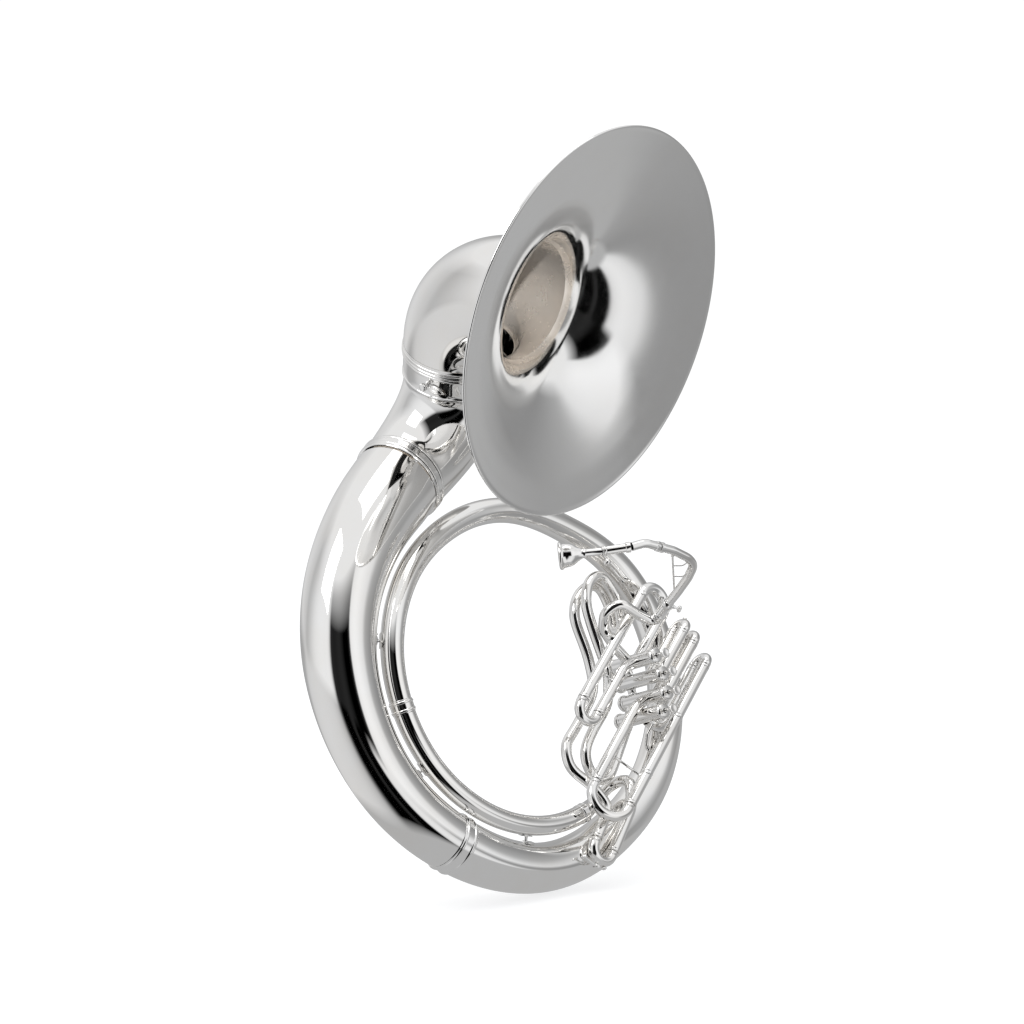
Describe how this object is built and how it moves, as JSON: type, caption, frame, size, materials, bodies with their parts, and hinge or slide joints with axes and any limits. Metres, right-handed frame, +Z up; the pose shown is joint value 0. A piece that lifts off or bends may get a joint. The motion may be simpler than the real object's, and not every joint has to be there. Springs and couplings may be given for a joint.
{
  "type": "sousaphone",
  "caption": "Silver-plated marching bass horn: coiled conical tube, forward-facing detachable bell, piston valves, pull slides and a swivelling neck.",
  "frame": {"origin": "the inner face of the coil where it lies on the player's shoulder", "axes": "+Z up as the horn is carried, +X the way the bell faces (it droops about sixteen degrees), +Y to the side with the valves and the neck"},
  "size_m": [0.5581, 0.8074, 1.2805],
  "materials": {
    "silver_tube": "bright silver plate, mirror polished",
    "silver_fitting": "bright silver plate on turned and cast fittings",
    "steel_piston": "lapped metal piston with plated stem and button",
    "silver_mouthpiece": "bright silver plate"
  },
  "bodies": {
    "horn": {"ball_holder": "silver_fitting", "bell_receiver": "silver_tube", "big_branch": "silver_tube", "bottom_bow": "silver_tube", "bottom_cap_1": "silver_fitting", "bottom_cap_2": "silver_fitting", "bottom_cap_3": "silver_fitting", "bottom_cap_4": "silver_fitting", "casing_1": "silver_fitting", "casing_2": "silver_fitting", "casing_3": "silver_fitting", "casing_4": "silver_fitting", "coil_brace_1": "silver_fitting", "coil_brace_2": "silver_fitting", "coil_brace_3": "silver_fitting", "first_loop": "silver_tube", "fourth_inlet": "silver_tube", "fourth_legs": "silver_tube", "hand_hook": "silver_fitting", "inner_branch": "silver_tube", "inner_ferrule": "silver_fitting", "inner_wrap": "silver_tube", "lower_ferrule": "silver_fitting", "mouthpipe": "silver_tube", "neck_receiver": "silver_fitting", "outer_wrap": "silver_tube", "second_legs": "silver_tube", "side_ferrule": "silver_fitting", "tail_tube": "silver_tube", "third_legs": "silver_tube", "top_branch": "silver_tube", "top_cap_1": "silver_fitting", "top_cap_2": "silver_fitting", "top_cap_3": "silver_fitting", "top_cap_4": "silver_fitting", "upper_branch": "silver_tube", "upper_ferrule": "silver_fitting"},
    "bell": {"bell_flare": "silver_tube", "bell_elbow": "silver_tube", "bell_tenon": "silver_tube"},
    "bell_screw_1_body": {"bell_screw_1": "silver_fitting"},
    "bell_screw_2_body": {"bell_screw_2": "silver_fitting"},
    "bell_screw_3_body": {"bell_screw_3": "silver_fitting"},
    "valve_1": {"piston_1": "steel_piston"},
    "valve_2": {"piston_2": "steel_piston"},
    "valve_3": {"piston_3": "steel_piston"},
    "valve_4": {"piston_4": "steel_piston"},
    "slide_1_body": {"slide_1": "silver_tube"},
    "slide_2_body": {"slide_2": "silver_tube"},
    "slide_3_body": {"slide_3": "silver_tube"},
    "slide_4_body": {"slide_4": "silver_tube"},
    "slide_5_body": {"slide_5": "silver_tube"},
    "tuning": {"tuning_slide": "silver_tube"},
    "key": {"water_key": "silver_fitting"},
    "neck_body": {"neck": "silver_tube"},
    "bit_2_body": {"bit_2": "silver_tube"},
    "bit_1_body": {"bit_1": "silver_tube"},
    "mouthpiece_body": {"mouthpiece": "silver_mouthpiece"},
    "clamp_screw_body": {"clamp_screw": "silver_fitting"}
  },
  "joints": [
    {"name": "bell_swivel", "type": "hinge", "parent": "horn", "child": "bell", "pos_m": [-0.02004, -0.06929, 0.29292], "axis": [0.3575, -0.3646, 0.8598], "range_deg": [-30, 30]},
    {"name": "bell_screw_1_turn", "type": "hinge", "parent": "horn", "child": "bell_screw_1_body", "pos_m": [-0.02312, -0.15314, 0.24353], "axis": [0.0162, -0.9181, -0.3961], "continuous": true},
    {"name": "bell_screw_2_turn", "type": "hinge", "parent": "horn", "child": "bell_screw_2_body", "pos_m": [0.05257, -0.00726, 0.27392], "axis": [0.8006, 0.5937, -0.0811], "continuous": true},
    {"name": "bell_screw_3_turn", "type": "hinge", "parent": "horn", "child": "bell_screw_3_body", "pos_m": [-0.1035, -0.03325, 0.32779], "axis": [-0.8168, 0.3244, 0.4772], "continuous": true},
    {"name": "valve_1_press", "type": "slide", "parent": "horn", "child": "valve_1", "axis": [-0.941, 0.1727, -0.2911], "range_m": [0, 0.018], "stiffness_N_per_m": 150, "springref_m": -0.02},
    {"name": "valve_2_press", "type": "slide", "parent": "horn", "child": "valve_2", "axis": [-0.941, 0.1727, -0.2911], "range_m": [0, 0.018], "stiffness_N_per_m": 150, "springref_m": -0.02},
    {"name": "valve_3_press", "type": "slide", "parent": "horn", "child": "valve_3", "axis": [-0.941, 0.1727, -0.2911], "range_m": [0, 0.018], "stiffness_N_per_m": 150, "springref_m": -0.02},
    {"name": "valve_4_press", "type": "slide", "parent": "horn", "child": "valve_4", "axis": [-0.941, 0.1727, -0.2911], "range_m": [0, 0.018], "stiffness_N_per_m": 150, "springref_m": -0.02},
    {"name": "slide_1_pull", "type": "slide", "parent": "horn", "child": "slide_1_body", "axis": [0.0558, -0.7692, -0.6366], "range_m": [0, 0.05]},
    {"name": "slide_2_pull", "type": "slide", "parent": "horn", "child": "slide_2_body", "axis": [-0.0558, 0.7692, 0.6366], "range_m": [0, 0.044]},
    {"name": "slide_3_pull", "type": "slide", "parent": "horn", "child": "slide_3_body", "axis": [-0.0558, 0.7692, 0.6366], "range_m": [0, 0.044]},
    {"name": "slide_4_pull", "type": "slide", "parent": "horn", "child": "slide_4_body", "axis": [-0.0558, 0.7692, 0.6366], "range_m": [0, 0.052]},
    {"name": "slide_5_pull", "type": "slide", "parent": "horn", "child": "slide_5_body", "axis": [0.0558, -0.7692, -0.6366], "range_m": [0, 0.062]},
    {"name": "tuning_pull", "type": "slide", "parent": "horn", "child": "tuning", "axis": [0.0898, -0.7019, -0.7066], "range_m": [0, 0.038]},
    {"name": "water_key_lift", "type": "hinge", "parent": "tuning", "child": "key", "pos_m": [0.22166, 0.00073, -0.58068], "axis": [-0.941, 0.1727, -0.2911], "range_deg": [0, 14], "stiffness_Nm_per_rad": 0.08, "springref_deg": -17.19},
    {"name": "neck_swivel", "type": "hinge", "parent": "horn", "child": "neck_body", "pos_m": [0.21996, 0.21853, -0.14377], "axis": [0.687, -0.1342, 0.7141], "range_deg": [-25, 25]},
    {"name": "bit_2_turn", "type": "hinge", "parent": "neck_body", "child": "bit_2_body", "pos_m": [0.26478, 0.12368, -0.03573], "axis": [0.3815, 0.8855, -0.2655], "range_deg": [-40, 40]},
    {"name": "bit_1_turn", "type": "hinge", "parent": "bit_2_body", "child": "bit_1_body", "pos_m": [0.23885, 0.07293, -0.03354], "axis": [0.5057, 0.8348, 0.2176], "range_deg": [-40, 40]},
    {"name": "mouthpiece_turn", "type": "hinge", "parent": "bit_1_body", "child": "mouthpiece_body", "pos_m": [0.20267, 0.03788, -0.04043], "axis": [0.8184, 0.5627, 0.1165], "continuous": true},
    {"name": "clamp_screw_turn", "type": "hinge", "parent": "horn", "child": "clamp_screw_body", "pos_m": [0.2232, 0.22885, -0.15194], "axis": [0.5295, 0.7656, -0.3655], "continuous": true}
  ]
}
